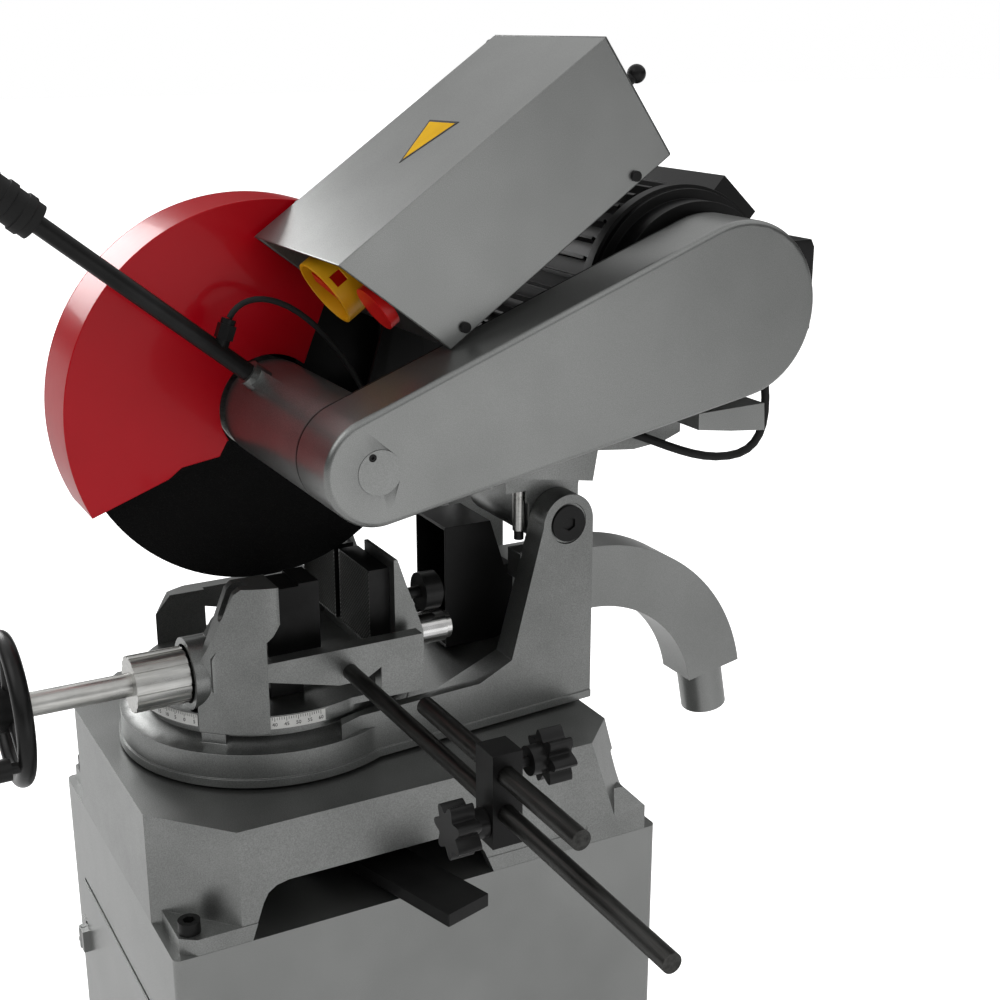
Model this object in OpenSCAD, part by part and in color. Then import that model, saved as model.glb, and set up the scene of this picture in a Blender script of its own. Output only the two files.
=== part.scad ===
/* [Abrasive disc] */
// Diameter of the abrasive disc, mm
disc_d = 350; // [300:1:352]
// Thickness of the abrasive disc, mm
disc_t = 3.2; // [2:0.1:4]
// Bore of the abrasive disc, mm
disc_bore = 32; // [32:0.1:34]

/* [Head geometry at rest] */
// Distance of the spindle axis behind the turntable axis, mm
spindle_y = 7; // [5:0.5:9]
// Height of the spindle axis above the floor, mm
spindle_z = 1102; // [1100:1:1106]
// Distance of the head pivot behind the turntable axis, mm
pivot_y = 284; // [283:0.5:285]
// Height of the head pivot above the floor, mm
pivot_z = 967; // [966:0.5:968]
// Distance of the motor axis behind the turntable axis, mm
motor_y = 357; // [355:1:359]
// Height of the motor axis above the floor, mm
motor_z = 1200; // [1198:1:1204]

/* [Belt drive] */
// Pitch radius of the pulley on the motor, mm
motor_pulley_r = 66; // [60:1:68]
// Pitch radius of the pulley on the spindle, mm
spindle_pulley_r = 33; // [30:1:34]
// Distance of the cover's outer face from the disc plane, mm
cover_face_x = 278.5; // [277:0.5:282]
// Radius of the belt cover round the motor pulley, mm
cover_big_r = 79; // [76:1:80]
// Radius of the belt cover round the spindle pulley, mm
cover_small_r = 46; // [44:1:48]

/* [Guard] */
// Outer radius of the disc guard, mm
guard_r = 190; // [184:1:192]
// Width of the disc guard along the spindle, mm
guard_w = 73; // [68:1:74]

/* [Switch box] */
// Length of the switch box along its slope, mm
box_len = 295; // [285:1:300]
// Height of the switch box square to its slope, mm
box_h = 118; // [110:1:119]
// Slope of the switch box, degrees
box_pitch = 35; // [34:0.5:36]

/* [Vice] */
// Length of the long stop rod, mm
stop_rod_len = 541; // [440:1:600]
// Radius of the vice handwheel, mm
wheel_r = 62; // [50:1:64]

/* [Stand] */
// Height of the cabinet top above the floor, mm
cabinet_top = 660; // [658:1:660]
// Half width of the cabinet, mm
cabinet_hw = 196; // [196:1:204]
// Distance between the floor anchor holes from left to right, mm
anchor_dx = 330; // [320:1:334]
// Distance between the floor anchor holes from front to back, mm
anchor_dy = 440; // [420:1:444]

/* [Hidden] */
$fn = 96;
fine = 144;
run = 0.05;
base_top = 770;
table_z0 = 773;
table_z1 = 805;
table_r = 142;
lip_r = 144.5;
neck_r = 119;
wall_top = 820;
post_r = 95;
bed_z0 = 821;
bed_z1 = 835;
rail_z0 = 828;
column_z0 = 818.5;
column_r = 127.4;
bed_r = 125;
ear_out = 106.5;
ear_in = 82;
ear_r = 30;
pin_r = 15;
vice_x = 62;
vice_z = 868;
rod_y = 43;
rod_z = 861.5;
stop_z = 893.5;
block_x0 = 393;
block_x1 = 421;
pulley_x0 = 241;
pulley_x1 = 269;
cover_x0 = 217;
jaw_top = 943;
cut_gap = 6;
front_y = -163;
back_y = 340;
mid_y = (front_y + back_y) / 2;
hinge_x = -153;
hinge_y = front_y - 6;
hinge_z = [180, 470];
duct_y = 360.5;
duct_z = 693.5;
duct_out = 210;
duct_in = 140.5;
duct_end = 10.5;
latch_x = 125;
latch_z = 340;
anchor_r = 6.5;
foot_top = 676;
base_bolts_at = [[179, -143], [150, 312]];
clamp_z = 850.5;
tilt_front = [0, -5.6, 1260.6];
box_x0 = 44;
box_x1 = 236;
plate_u = 37;
ring_x = 139;
ring_n = -47;
button_x = 200;
button_n = -62;
lever_x = 80;
lever_tilt = 39.4;
stop_y = 249;
steel = [0.62, 0.63, 0.62];
cast_grey = [0.50, 0.52, 0.51];
black = [0.07, 0.07, 0.07];
dark = [0.17, 0.18, 0.18];
red = [0.62, 0.02, 0.05];
yellow = [0.95, 0.62, 0.05];
chrome = [0.80, 0.80, 0.80];

// ---------- helpers ----------

function unit(v) = v / norm(v);

// point on a smooth curve through four control points
function bez(a, b, c, d, t) = pow(1 - t, 3) * a + 3 * t * pow(1 - t, 2) * b + 3 * t * t * (1 - t) * c + pow(t, 3) * d;

// cylinder along +X that starts at x0 on the axis (y, z)
module xcyl(x0, x1, y, z, r) {
    translate([x0, y, z])
        rotate([0, 90, 0])
            cylinder(r = r, h = x1 - x0);
}

// cylinder along +Y that starts at y0 on the axis (x, z)
module ycyl(y0, y1, x, z, r) {
    translate([x, y0, z])
        rotate([-90, 0, 0])
            cylinder(r = r, h = y1 - y0);
}

// upright cylinder between two heights
module zcyl(z0, z1, x, y, r) {
    translate([x, y, z0])
        cylinder(r = r, h = z1 - z0);
}

// box between two corners
module block(a, b) {
    translate(a)
        cube(b - a);
}

// outline in the YZ plane carried from x0 to x1
module yz(x0, x1) {
    translate([x0, 0, 0])
        rotate([90, 0, 90])
            linear_extrude(x1 - x0)
                children();
}

// outline in the XY plane carried from z0 to z1
module xy(z0, z1) {
    translate([0, 0, z0])
        linear_extrude(z1 - z0)
            children();
}

// rectangle with round corners, centred
module soft_rect(w, h, r) {
    square([w - 2 * r, h], center = true);
    square([w, h - 2 * r], center = true);
    for (sx = [-1, 1], sy = [-1, 1])
        translate([sx * (w / 2 - r), sy * (h / 2 - r)])
            circle(r);
}

// two circles joined by their outer tangents; the first sits at the spindle, the second at the motor
module belt_outline(r1, r2) {
    dy = motor_y - spindle_y;
    dz = motor_z - spindle_z;
    span = sqrt(dy * dy + dz * dz);
    pitch = atan2(dz, dy);
    lean = asin((r2 - r1) / span);
    top = pitch + 90 + lean;
    low = pitch - 90 - lean;
    p1 = [spindle_y, spindle_z];
    p2 = [motor_y, motor_z];
    translate(p1)
        circle(r1);
    translate(p2)
        circle(r2);
    polygon([p1 + r1 * [cos(top), sin(top)], p1 + r1 * [cos(low), sin(low)],
        p2 + r2 * [cos(low), sin(low)], p2 + r2 * [cos(top), sin(top)]]);
}

// star grip with lobes along +Y, with its threaded stud toward -Y
module star_grip(stud_len) {
    lobes = 7;
    ycyl(0, 13, 0, 0, 12);
    translate([0, 12, 0])
        rotate([-90, 0, 0])
            linear_extrude(20)
                polygon([for (a = [0:5:355]) (18.5 + 4 * cos(lobes * a)) * [cos(a), sin(a)]]);
    ycyl(-stud_len, 1, 0, 0, 4);
}

// round bar swept along a path of points; ref is any direction the path never follows
module sweep(path, r, sides, ref) {
    n = len(path);
    rings = [for (i = [0:n - 1])
        let (t = unit(path[min(i + 1, n - 1)] - path[max(i - 1, 0)]), u = unit(cross(t, ref)), v = cross(t, u))
            for (j = [0:sides - 1])
                path[i] + r * (cos(360 * j / sides) * u + sin(360 * j / sides) * v)];
    faces = concat(
        [[for (j = [0:sides - 1]) j]],
        [for (i = [0:n - 2], j = [0:sides - 1])
            [i * sides + j, (i + 1) * sides + j, (i + 1) * sides + (j + 1) % sides, i * sides + (j + 1) % sides]],
        [[for (j = [sides - 1:-1:0]) (n - 1) * sides + j]]);
    polyhedron(rings, faces, convexity = 10);
}

// everything beyond point p on the side of a normal that leans off vertical by tilt, towards heading turn
module beyond(p, tilt, turn) {
    reach = 400;
    translate(p)
        rotate([0, tilt, turn])
            translate([-reach, -reach, 0])
                cube([2 * reach, 2 * reach, reach]);
}

// socket-head screw standing on the XY plane, shank downwards
module cap_screw(r, h, shank_r, shank_l) {
    difference() {
        cylinder(r = r, h = h);
        translate([0, 0, h * 0.45])
            cylinder(r = r * 0.55, h = h, $fn = 6);
    }
    translate([0, 0, -shank_l])
        cylinder(r = shank_r, h = shank_l + 0.1);
}

// ---------- stand ----------

module cabinet_plan(inset) {
    translate([0, mid_y])
        soft_rect(2 * (cabinet_hw - inset), back_y - front_y - 2 * inset, max(7 - inset, 2));
}

module cabinet() {
    wall = 2.5;
    flange = 45;
    color(cast_grey)
        difference() {
            xy(0, cabinet_top)
                cabinet_plan(0);
            xy(3, cabinet_top - 4)
                cabinet_plan(wall);
            xy(-1, 4)
                cabinet_plan(flange);
            // opening for falling dust
            block([-110, -40, cabinet_top - 6], [110, 130, cabinet_top + 1]);
            // door opening
            block([-150, front_y - 5, 120], [150, front_y + 5, 560]);
            for (sx = [-1, 1], at = base_bolts_at)
                zcyl(cabinet_top - 8, cabinet_top + 1, sx * at[0], at[1], 8.8);
            // floor anchor holes
            for (sx = [-1, 1], sy = [-1, 1])
                zcyl(-1, 5, sx * anchor_dx / 2, mid_y + sy * anchor_dy / 2, anchor_r);
        }
    color(steel)
        for (z = hinge_z) {
            zcyl(z, z + 30, hinge_x, hinge_y, 3);
            block([hinge_x - 22, hinge_y + 4.4, z], [hinge_x - 7, hinge_y + 6.1, z + 30]);
            block([hinge_x - 22, hinge_y - 2, z], [hinge_x + 3, hinge_y + 6.1, z + 4]);
        }
}

module cabinet_door() {
    color(cast_grey) {
        difference() {
            block([-148.5, front_y - 2.2, 121.5], [148.5, front_y - 0.2, 558.5]);
            ycyl(front_y - 5, front_y + 2, latch_x, latch_z, 9.1);
        }
        // folded edges
        for (x = [-140, 136])
            block([x, front_y - 0.3, 130], [x + 4, front_y + 13.7, 550]);
        // hinge knuckles
        for (z = hinge_z)
            difference() {
                union() {
                    zcyl(z + 4.5, z + 29.5, hinge_x, hinge_y, 5.2);
                    block([hinge_x + 1, hinge_y - 4, z + 4.5], [hinge_x + 13, hinge_y + 3.9, z + 29.5]);
                }
                zcyl(z - 1, z + 31, hinge_x, hinge_y, 3.08);
            }
    }
}

// quarter-turn latch, shown open: its cam points up until it is turned
module door_latch() {
    color(black) {
        ycyl(front_y - 10, front_y - 2.4, latch_x, latch_z, 16);
        ycyl(front_y - 3, front_y + 20, latch_x, latch_z, 9);
        block([latch_x - 4, front_y - 22, latch_z - 18], [latch_x + 4, front_y - 9, latch_z + 18]);
    }
    color(steel)
        block([latch_x - 7, front_y + 17, latch_z - 7], [latch_x + 7, front_y + 21, latch_z + 33]);
}

// plan of the base casting with cut front corners
module base_plan(inset) {
    w = 195 - inset;
    f = front_y + inset;
    b = 330 - inset;
    polygon([[w, -100], [125 - inset * 0.6, f], [-125 + inset * 0.6, f], [-w, -100], [-w, b], [w, b]]);
}

// body of the base with its leaning back wall and rear corners, shrunk by inset
module base_body(inset, z0, z1) {
    lean = 77;
    corner_turn = 45.6;
    difference() {
        xy(z0, z1)
            base_plan(inset);
        beyond([0, 302.6 - inset, base_top], lean, 90);
        for (m = [0, 1])
            mirror([m, 0, 0])
                beyond([192.5 - inset * 0.68, 264.4 - inset * 0.7, base_top - inset * 0.22],
                    lean, corner_turn);
    }
}

// raised rear foot of the base on the right
module rear_foot() {
    peak = [180, 309.8, 703.5];
    difference() {
        block([145, 258, cabinet_top], [195.8, 326, peak[2]]);
        beyond(peak, 50, -5.5);
        beyond(peak, 47.8, 90);
    }
}

module base_casting() {
    color(cast_grey)
        difference() {
            union() {
                base_body(0, cabinet_top, base_top);
                // foot flange with cut corners
                xy(cabinet_top, foot_top)
                    polygon([[195.8, -141], [186, -155], [-186, -155], [-195.8, -141],
                        [-195.8, 315], [-184, 326], [184, 326], [195.8, 315]]);
                for (m = [0, 1])
                    mirror([m, 0, 0])
                        rear_foot();
            }
            // hollow underside that leaves a boss at each rear bolt
            difference() {
                base_body(14, cabinet_top - 1, base_top - 16);
                for (sx = [-1, 1])
                    zcyl(cabinet_top - 2, base_top, sx * base_bolts_at[1][0], base_bolts_at[1][1], 24);
            }
            // lever windows in both sides
            for (x = [-205, 175])
                yz(x, x + 30)
                    polygon([[-91, cabinet_top - 1], [-79, 694], [-74, 703], [-66, 708.5], [-54, 711],
                        [100, 711], [128, 703], [143, 684], [153, cabinet_top - 1]]);
            zcyl(base_top - 20, base_top + 1, 0, 0, 40);
            for (sx = [-1, 1], at = base_bolts_at)
                zcyl(cabinet_top - 1, foot_top + 60, sx * at[0], at[1], 8.8);
            // pockets over the rear bolts
            for (sx = [-1, 1])
                zcyl(foot_top, foot_top + 60, sx * base_bolts_at[1][0], base_bolts_at[1][1], 13.5);
        }
}

module base_bolts() {
    color(dark)
        for (sx = [-1, 1], at = base_bolts_at)
            translate([sx * at[0], at[1], foot_top + 0.01])
                cap_screw(10, 12, 8, 30);
}

// fixed post in the middle: spigot in the base, journal for the turntable and stud for the lock lever
module swivel_post() {
    color(dark) {
        zcyl(base_top, bed_z0, 0, 0, post_r);
        zcyl(754, base_top + 1, 0, 0, 39.95);
        zcyl(672, 755, 0, 0, 12);
        zcyl(664, 672.5, 0, 0, 20, $fn = 6);
    }
}

module lock_lever() {
    color(black)
        difference() {
            union() {
                zcyl(674, 700, 0, 0, 30);
                rotate([0, 0, 16.3])
                    block([14, -18, 673], [285, 31.5, 686]);
            }
            zcyl(670, 702, 0, 0, 12.08);
        }
}

// ---------- bed and vice ----------

module bed_rail() {
    difference() {
        yz(102, 117.3)
            polygon([[-43, 869], [-43, 885.5], [118, 885.5], [118, rail_z0], [79, rail_z0], [74.5, 834],
                [74.5, 860], [57, 850], [31, 850], [-41, 868.5]]);
        xcyl(101, 119, rod_y, rod_z, 7.6);
    }
}

module bed_casting() {
    color(steel)
        difference() {
            union() {
                zcyl(bed_z0, bed_z1, 0, 0, bed_r, $fn = fine);
                xy(rail_z0, bed_z1)
                    translate([-117.3, 0])
                        square([234.6, 118]);
                bed_rail();
                mirror([1, 0, 0])
                    bed_rail();
                // right front column, its outside just beyond the round of the bed
                difference() {
                    intersection() {
                        zcyl(column_z0, 965, 0, 0, column_r, $fn = fine);
                        yz(84, 124)
                            polygon([[-95, column_z0], [-95, 880], [-64, 955], [-58, 960], [-26.5, 960],
                                [-26.5, 925], [-33, 914], [-39, 908], [-39, column_z0]]);
                    }
                    zcyl(column_z0 - 1, bed_z0, 0, 0, neck_r + 1, $fn = fine);
                }
                // low left front column
                intersection() {
                    zcyl(bed_z0, 900, 0, 0, bed_r, $fn = fine);
                    yz(-117, -96)
                        polygon([[-95, bed_z0], [-95, 850], [-64, 885.5], [-28, 885.5], [-28, bed_z0]]);
                }
                // screw boss with its web
                ycyl(-98, -38, vice_x, vice_z, 34);
                block([42, -84, bed_z1 - 1], [90, -40, 870]);
                yz(58, 100)
                    polygon([[-84, 860], [-84, 892], [-70, 915], [-52, 932], [-40, 932], [-40, 860]]);
                // guide rail of the front jaw
                block([50, -40, bed_z1 - 1], [74, 76, 842]);
                // tongue under the rear jaw
                block([-10, 60, bed_z1 - 1], [10, 118, 841]);
            }
            ycyl(-99, -50, vice_x, vice_z, 28);
            ycyl(-60, -20, vice_x, vice_z, 11.08);
            // bolt slot that is open at the top of the column
            ycyl(-100, -50, 98, 934, 6);
            block([92, -100, 934], [104, -50, 970]);
            // hook-shaped relief beside the column
            yz(60, 83.9)
                polygon([[-62, 905], [-52, 894], [-36, 894], [-36, 940], [-62, 940]]);
            zcyl(bed_z0 - 1, bed_z1 + 1, 0, 0, 12);
        }
}

module angle_scale() {
    color([0.92, 0.92, 0.90])
        difference() {
            zcyl(822, 834, 0, 0, bed_r + 0.7, $fn = fine);
            zcyl(821, 836, 0, 0, bed_r + 0.02, $fn = fine);
            block([-130, 13.5, 820], [130, 130, 840]);
            // gap where the right front column stands
            block([70, -95.1, 820], [130, -38.9, 840]);
        }
}

module vice_screw() {
    color(steel)
        ycyl(-266, -6, vice_x, vice_z, 11);
    color(dark)
        difference() {
            ycyl(-150, -100, vice_x, vice_z, 26.5);
            ycyl(-151, -99, vice_x, vice_z, 10.9);
            for (i = [0:17])
                translate([vice_x, 0, vice_z])
                    rotate([0, i * 20, 0])
                        block([25, -151, -1.6], [28, -99, 1.6]);
        }
}

module handwheel() {
    wheel_y = -255;
    color(black)
        difference() {
            union() {
                translate([vice_x, wheel_y, vice_z])
                    rotate([-90, 0, 0])
                        rotate_extrude($fn = fine)
                            translate([wheel_r, 0])
                                circle(8, $fn = 32);
                ycyl(wheel_y - 14, wheel_y + 10, vice_x, vice_z, 20);
                for (i = [0:2])
                    translate([vice_x, wheel_y, vice_z])
                        rotate([0, i * 120 + 30, 0])
                            xcyl(12, wheel_r, 0, 0, 6);
                translate([vice_x, wheel_y, vice_z])
                    rotate([0, 30, 0]) {
                        ycyl(-60, -2, wheel_r, 0, 5);
                        ycyl(-66, -14, wheel_r, 0, 10);
                    }
            }
            ycyl(wheel_y - 12, wheel_y + 20, vice_x, vice_z, 11.02);
        }
}

module front_jaw() {
    color(dark)
        difference() {
            union() {
                block([40, -24, bed_z1 + 0.3], [83, 8.9, 862]);
                block([40, -24, 860], [81, 8.9, 935]);
                block([40, -12, 860], [81, 8.9, 941]);
            }
            block([49.95, -30, bed_z1 - 1], [74.05, 40, 842.2]);
            ycyl(-25, -5, vice_x, vice_z, 11.08);
            // cut corner that clears the disc
            translate([40, -24, bed_z1 - 1])
                rotate([0, 0, 45])
                    cube([10, 10, 220], center = true);
        }
}

module front_jaw_plate() {
    color(black)
        block([37, 9, 867], [80, 29, jaw_top]);
}

module rear_jaw() {
    color(steel)
        difference() {
            union() {
                for (x = [-92, 22])
                    yz(x, x + 70)
                        polygon([[101.1, bed_z1 + 0.3], [101.1, 954], [105, 954], [113.5, 928], [124.7, 896],
                            [131, 877], [131, bed_z1 + 0.3]]);
                block([-25, 101.1, bed_z1 + 0.3], [25, 131, 862]);
            }
            block([-10.05, 100, bed_z1 - 1], [10.05, 140, 841.3]);
            ycyl(118, 139, 75, 872, 16.02);
            ycyl(110, 139, 78, 912, 6.05);
        }
}

module rear_jaw_plates() {
    color(black) {
        block([cut_gap, 80, 866], [80, 101, jaw_top]);
        block([-92, 80, 866], [-cut_gap, 101, jaw_top]);
    }
}

module rear_guide_bar() {
    color(chrome) {
        ycyl(118, 158, 75, 872, 16);
        ycyl(158, 164, 75, 872, 14);
    }
}

module rear_lock_knob() {
    color(black) {
        ycyl(112, 134, 78, 912, 6);
        ycyl(133, 150, 78, 912, 19);
        ycyl(150, 153, 78, 912, 15);
    }
}

// ---------- length stop ----------

module stop_rod() {
    color(dark)
        xcyl(102, 102 + stop_rod_len, rod_y, rod_z, 7.5);
}

module stop_block() {
    color(black)
        difference() {
            block([block_x0, 31, 833], [block_x1, 57, 912]);
            xcyl(block_x0 - 1, block_x1 + 1, rod_y, rod_z, 7.58);
            xcyl(block_x0 - 1, block_x1 + 1, rod_y, stop_z, 8.08);
            ycyl(50.5, 58, 407, stop_z, 4.1);
            ycyl(30, 35.45, 407, clamp_z, 4.1);
        }
}

module stop_pin() {
    color(dark)
        xcyl(279, 529.7, rod_y, stop_z, 8);
}

module stop_knob_rear() {
    color(black)
        translate([407, 69, stop_z])
            star_grip(17.7);
}

module stop_knob_front() {
    color(black)
        translate([407, 30.5, clamp_z])
            rotate([0, 0, 180])
                star_grip(4.8);
}

// ---------- turntable and bracket ----------

// plan of the right side wall, from the turntable disc back to the ear
module wall_plan() {
    polygon([[138, 24], [128.4, 47], [ear_out, 314], [94, 314], [116, 58], [125, 28]]);
}

// side view of an ear
module ear_view() {
    polygon([[137, 802], [217, 836], [pivot_y - ear_r, pivot_z], [pivot_y + ear_r, pivot_z],
        [314, table_z0], [137, table_z0]]);
    translate([pivot_y, pivot_z])
        circle(ear_r);
}

// low side wall whose outside runs on up the ear, with a spot face for the pivot pin's head
module side_wall() {
    xy(table_z0 + 5, wall_top)
        wall_plan();
    difference() {
        intersection() {
            xy(table_z0 + 5, pivot_z + ear_r)
                wall_plan();
            yz(90, 130)
                ear_view();
        }
        xcyl(80, 130, pivot_y, pivot_z, 21);
    }
}

module turntable_bracket() {
    color(cast_grey)
        difference() {
            union() {
                zcyl(table_z0 + 7.5, table_z1, 0, 0, table_r, $fn = fine);
                zcyl(table_z0, table_z0 + 8, 0, 0, lip_r, $fn = fine);
                xy(table_z0, table_z0 + 8)
                    polygon([[-130, 50], [130, 50], [108, 314], [-108, 314]]);
                // flared neck under the bed
                translate([0, 0, table_z1 - 0.1])
                    cylinder(r1 = neck_r + 14, r2 = neck_r, h = 8.1, $fn = fine);
                zcyl(table_z1 + 7, wall_top, 0, 0, neck_r, $fn = fine);
                xy(table_z0, 803)
                    polygon([[-128, 50], [128, 50], [ear_out, 314], [-ear_out, 314]]);
                for (m = [0, 1])
                    mirror([m, 0, 0])
                        side_wall();
                yz(-ear_out, ear_out)
                    polygon([[137, 802], [217, 826], [314, 826], [314, table_z0], [137, table_z0]]);
                for (x = [-ear_out, ear_in])
                    difference() {
                        yz(x, x + ear_out - ear_in)
                            ear_view();
                        xcyl(x - 1, x + 40, pivot_y, pivot_z, pin_r + run);
                    }
                // pad that the down stop meets
                block([58, 243, 905], [84, 264, 934]);
                block([58, 255, 870], [84, 264, 906]);
                // pointer block below the angle scale
                rotate([0, 0, -42])
                    block([112, -12, table_z1 - 1], [127, 12, 818]);
            }
            zcyl(table_z0 - 1, wall_top + 1, 0, 0, post_r + run, $fn = 96);
        }
}

module pivot_pin() {
    color(dark)
        difference() {
            union() {
                xcyl(-ear_out - 3, ear_out + 1, pivot_y, pivot_z, pin_r);
                xcyl(ear_out + 0.1, ear_out + 3.6, pivot_y, pivot_z, 18.5);
                xcyl(-ear_out - 6, -ear_out - 0.1, pivot_y, pivot_z, 20);
            }
            translate([ear_out + 1, pivot_y, pivot_z])
                rotate([0, 90, 0])
                    cylinder(r = 7.5, h = 10, $fn = 6);
        }
}

// helical torsion spring round the pivot pin, between the hub and the left ear
module return_spring() {
    turns = 4;
    per_turn = 20;
    wire_r = 2.4;
    coil_r = 22;
    x0 = -78.8;
    pitch = 5.4;
    color(steel)
        sweep([for (i = [0:turns * per_turn])
            let (a = 360 * i / per_turn)
                [x0 + pitch * i / per_turn, pivot_y + coil_r * cos(a), pivot_z + coil_r * sin(a)]],
            wire_r, 8, [1, 0, 0]);
}

// sheet hood behind the disc that leads sparks into the duct
module spark_chute() {
    w = 34;
    t = 2;
    color(black)
        difference() {
            yz(-w, w)
                polygon([[184, 826.2], [184, 956], [236, 956], [252, 905.5], [262, 905.5], [262, 832],
                    [240, 826.2]]);
            yz(-w + t, w - t)
                polygon([[183, 829], [183, 953], [234.5, 953], [250.4, 903.4], [263, 903.4], [263, 834.2],
                    [240, 829]]);
        }
}

// ring of the duct, from level over its centre down to its end plane
module duct_ring(x0, x1, r_out, r_in) {
    translate([x0, duct_y, duct_z])
        rotate([90, 0, 90])
            linear_extrude(x1 - x0)
                intersection() {
                    difference() {
                        circle(r_out, $fn = fine);
                        circle(r_in, $fn = fine);
                    }
                    polygon([[0, 0], 300 * [cos(duct_end), sin(duct_end)], [300, 300], [0, 300]]);
                }
}

// frame of the duct's end: local y points outwards from its centre, local z back into the duct
module at_duct_end() {
    translate([0, duct_y, duct_z])
        rotate([duct_end, 0, 0])
            children();
}

module rear_duct() {
    w = 26.5;
    t = 2;
    outlet_y = 172;
    color(steel) {
        difference() {
            union() {
                duct_ring(-w, w, duct_out, duct_in);
                block([-w, 262.1, duct_z + duct_in], [w, duct_y + 0.1, duct_z + duct_out]);
            }
            duct_ring(-w + t, w - t, duct_out - t, duct_in + t);
            block([-w + t, 262, duct_z + duct_in + t], [w - t, duct_y + 0.2, duct_z + duct_out - t]);
        }
        // end plate with the outlet pipe
        at_duct_end()
            difference() {
                union() {
                    block([-w + 1, duct_in + 1, 0.5], [w - 1, duct_out - 1, 3]);
                    zcyl(-52, 1.5, 0, outlet_y, 26);
                }
                zcyl(-53, 4, 0, outlet_y, 23.8);
            }
    }
}

// ---------- head ----------

module arm_profile() {
    polygon([[-25, 1082], [-24, 1115], [0, 1138], [14, 1138], [62, 1106], [120, 1104], [225, 1100],
        [262, 1068], [330, 1070], [416, 1070], [416, 1044], [396, 1036.5], [360, 1032.6], [318, 1037], [309, 985],
        [251, 985], [251, 1000], [225, 1010], [150, 1022], [60, 1050], [12, 1058]]);
}

module arm_casting() {
    color(cast_grey)
        difference() {
            union() {
                // spindle tube
                xcyl(37, cover_x0 - 3.1, spindle_y, spindle_z, 46);
                // right web from the tube back to the pivot
                yz(52, ear_out)
                    arm_profile();
                // left web, behind the disc only
                yz(-ear_out, 53)
                    intersection() {
                        arm_profile();
                        translate([214, 900])
                            square([300, 300]);
                    }
                // hub between the ears
                xcyl(-50, 81.5, pivot_y, pivot_z, ear_r);
                yz(-50, 81.5)
                    polygon([[254, pivot_z], [254, 1000], [311, 1000], [311, 985], [314, pivot_z]]);
                // lever boss with a sloping gusset
                at_lever()
                    cylinder(r = 12, h = 41);
                at_lever()
                    rotate([90, 0, 0])
                        linear_extrude(16, center = true)
                            polygon([[0, 5], [0, 38], [46, 24], [46, 5]]);
                // stop-bolt lug
                block([58, 228, 998], [81.4, 264, 1016]);
            }
            xcyl(36, 234, spindle_y, spindle_z, 30);
            xcyl(-60, 90, pivot_y, pivot_z, pin_r + run);
            // recesses above both ears
            for (x = [-ear_out - 1, 81.5])
                yz(x, x + 26)
                    polygon([[200, 900], [200, 1025], [253.5, 1016.2], [309, 1007], [340, 1002], [340, 900]]);
            block([-82, 240, 900], [-50.1, 330, 1006]);
            at_lever()
                translate([0, 0, 18])
                    cylinder(r = 8.02, h = 30);
            // thread and relief of the stop bolt
            zcyl(990, 1010.5, 70, stop_y, 5.6);
            zcyl(930, 998, 70, stop_y, 9);
        }
}

module spindle_bearings() {
    color(chrome)
        for (x = [48, 190])
            difference() {
                xcyl(x, x + 18, spindle_y, spindle_z, 29.98);
                xcyl(x - 1, x + 19, spindle_y, spindle_z, 17.55);
            }
}

module spindle_shaft() {
    color(steel) {
        xcyl(12.1, 236, spindle_y, spindle_z, 17.5);
        xcyl(-30, 12.5, spindle_y, spindle_z, disc_bore / 2 - 0.05);
        xcyl(235.5, 273, spindle_y, spindle_z, 13.95);
    }
}

module grooved_pulley(y, z, r, bore) {
    difference() {
        xcyl(pulley_x0, pulley_x1, y, z, r);
        for (x = [pulley_x0 + 4, pulley_x0 + 15])
            difference() {
                xcyl(x, x + 9, y, z, r + 1);
                xcyl(x - 1, x + 10, y, z, r - 6);
            }
        xcyl(pulley_x0 - 1, pulley_x1 + 1, y, z, bore);
    }
}

module spindle_pulley() {
    color(dark)
        grooved_pulley(spindle_y, spindle_z, spindle_pulley_r, 14);
}

module motor_pulley() {
    color(dark)
        grooved_pulley(motor_y, motor_z, motor_pulley_r, 14);
}

module disc_flanges() {
    color(steel)
        difference() {
            union() {
                xcyl(disc_t / 2 + 0.02, 12, spindle_y, spindle_z, 45);
                xcyl(-12, -disc_t / 2 - 0.02, spindle_y, spindle_z, 45);
            }
            xcyl(-40, 20, spindle_y, spindle_z, disc_bore / 2);
        }
}

module disc_nut() {
    color(dark)
        difference() {
            xcyl(-26, -12.1, spindle_y, spindle_z, 25, $fn = 6);
            xcyl(-40, 0, spindle_y, spindle_z, disc_bore / 2);
        }
}

module abrasive_disc() {
    color(black)
        difference() {
            xcyl(-disc_t / 2, disc_t / 2, spindle_y, spindle_z, disc_d / 2, $fn = fine);
            xcyl(-disc_t, disc_t, spindle_y, spindle_z, disc_bore / 2);
        }
}

module belt_cover() {
    wall = 2.5;
    color(steel)
        difference() {
            yz(cover_x0 + 0.1, cover_face_x)
                belt_outline(cover_small_r, cover_big_r);
            yz(cover_x0, cover_face_x - 2.6)
                belt_outline(cover_small_r - wall - 1.5, cover_big_r - wall - 1.5);
            xcyl(cover_face_x - 5, cover_face_x + 1, spindle_y, spindle_z, 18.9);
        }
}

module cover_backplate() {
    color(dark)
        difference() {
            yz(cover_x0 - 3, cover_x0)
                belt_outline(cover_small_r, cover_big_r);
            xcyl(cover_x0 - 4, cover_x0 + 1, spindle_y, spindle_z, 20);
            xcyl(cover_x0 - 4, cover_x0 + 1, motor_y, motor_z, 30);
        }
}

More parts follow.
